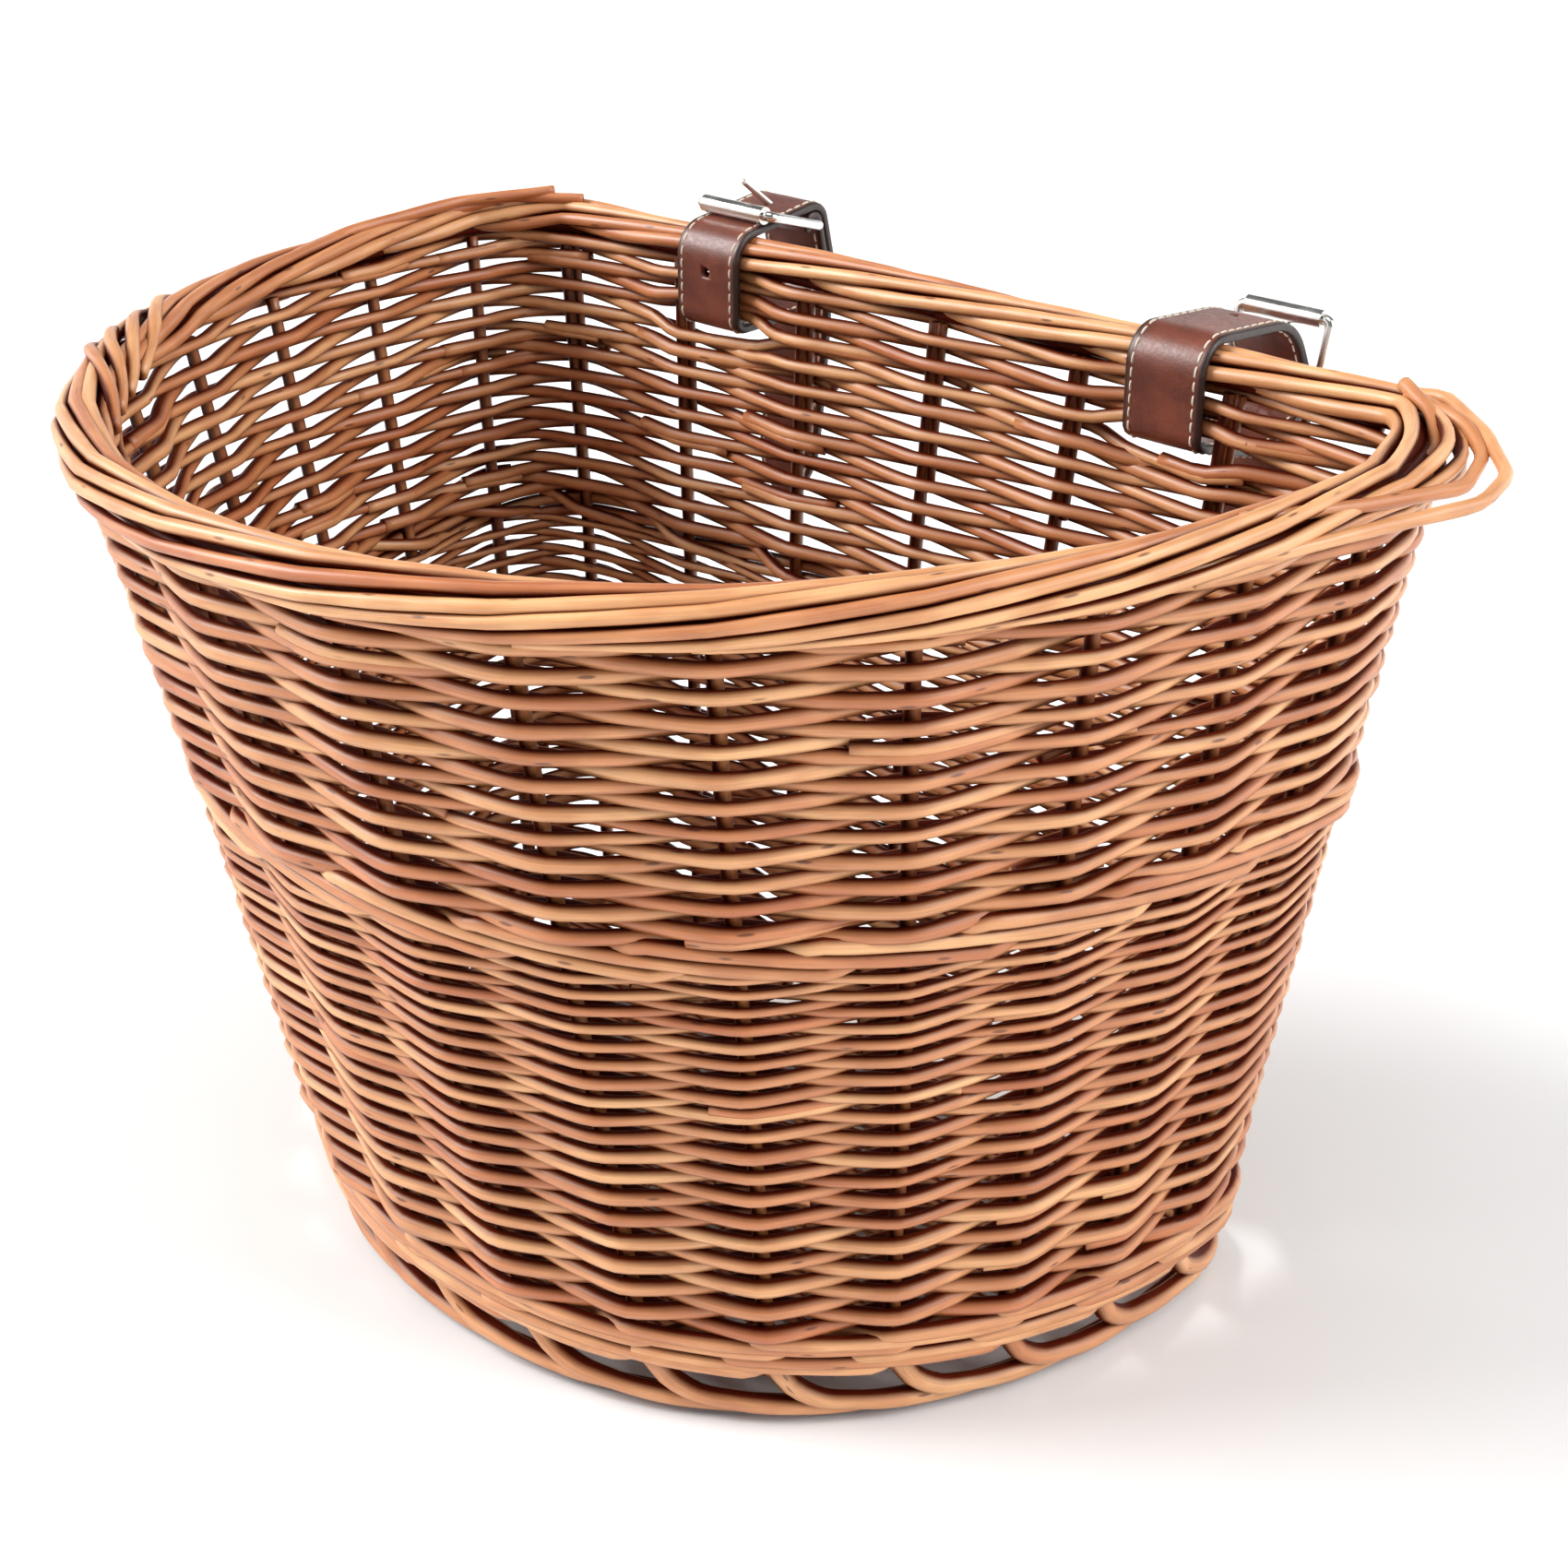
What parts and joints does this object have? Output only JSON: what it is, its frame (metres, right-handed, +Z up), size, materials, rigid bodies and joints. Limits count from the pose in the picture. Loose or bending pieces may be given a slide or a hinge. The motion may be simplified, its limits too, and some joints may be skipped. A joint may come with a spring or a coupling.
{
  "type": "bicycle handlebar basket",
  "caption": "D-shaped woven willow basket with a rolled rim and foot, hung from a handlebar by two buckled leather straps.",
  "frame": {"origin": "on the ground under the middle of the whole object's box", "axes": "+X along the handlebar to the rider's right hand, +Y back towards the handlebar and the rider, +Z up"},
  "size_m": [0.354, 0.3105, 0.2652],
  "materials": {
    "willow": "satin",
    "leather": "satin",
    "nickel": "polished"
  },
  "bodies": {
    "basket": {"base_sticks": "willow", "base_weave": "willow", "foot_border": "willow", "bottom_wale": "willow", "lower_wall_weave": "willow", "mid_wale": "willow", "upper_wall_weave": "willow", "rim_border": "willow", "back_stakes": "willow", "right_side_stakes": "willow", "front_stakes": "willow", "left_side_stakes": "willow", "left_strap": "leather", "right_strap": "leather"},
    "left_tail": {"left_strap_tail": "leather"},
    "left_buckle": {"left_buckle_frame": "nickel"},
    "left_prong": {"left_buckle_prong": "nickel"},
    "left_roller": {"left_buckle_roller": "nickel"},
    "right_tail": {"right_strap_tail": "leather"},
    "right_buckle": {"right_buckle_frame": "nickel"},
    "right_prong": {"right_buckle_prong": "nickel"},
    "right_roller": {"right_buckle_roller": "nickel"}
  },
  "joints": [
    {"name": "left_tail_swing", "type": "hinge", "parent": "basket", "child": "left_tail", "pos_m": [-0.08109, 0.13674, 0.23346], "axis": [1, 0, 0], "range_deg": [-10, 80]},
    {"name": "left_buckle_hinge", "type": "hinge", "parent": "basket", "child": "left_buckle", "pos_m": [-0.08109, 0.1286, 0.25023], "axis": [-1, 0, 0], "range_deg": [0, 15]},
    {"name": "left_prong_hinge", "type": "hinge", "parent": "left_buckle", "child": "left_prong", "pos_m": [-0.08109, 0.1286, 0.25023], "axis": [-1, 0, 0], "range_deg": [-10, 30]},
    {"name": "left_roller_spin", "type": "hinge", "parent": "left_buckle", "child": "left_roller", "pos_m": [-0.08109, 0.10618, 0.25692], "axis": [1, 0, 0], "continuous": true},
    {"name": "right_tail_swing", "type": "hinge", "parent": "basket", "child": "right_tail", "pos_m": [0.08109, 0.15008, 0.22144], "axis": [1, 0, 0], "range_deg": [-10, 80]},
    {"name": "right_buckle_hinge", "type": "hinge", "parent": "basket", "child": "right_buckle", "pos_m": [0.08109, 0.14568, 0.22457], "axis": [-1, 0, 0], "range_deg": [-15, 30]},
    {"name": "right_prong_hinge", "type": "hinge", "parent": "right_buckle", "child": "right_prong", "pos_m": [0.08109, 0.14568, 0.22457], "axis": [-1, 0, 0], "range_deg": [0, 35]},
    {"name": "right_roller_spin", "type": "hinge", "parent": "right_buckle", "child": "right_roller", "pos_m": [0.08109, 0.15174, 0.24717], "axis": [1, 0, 0], "continuous": true}
  ]
}
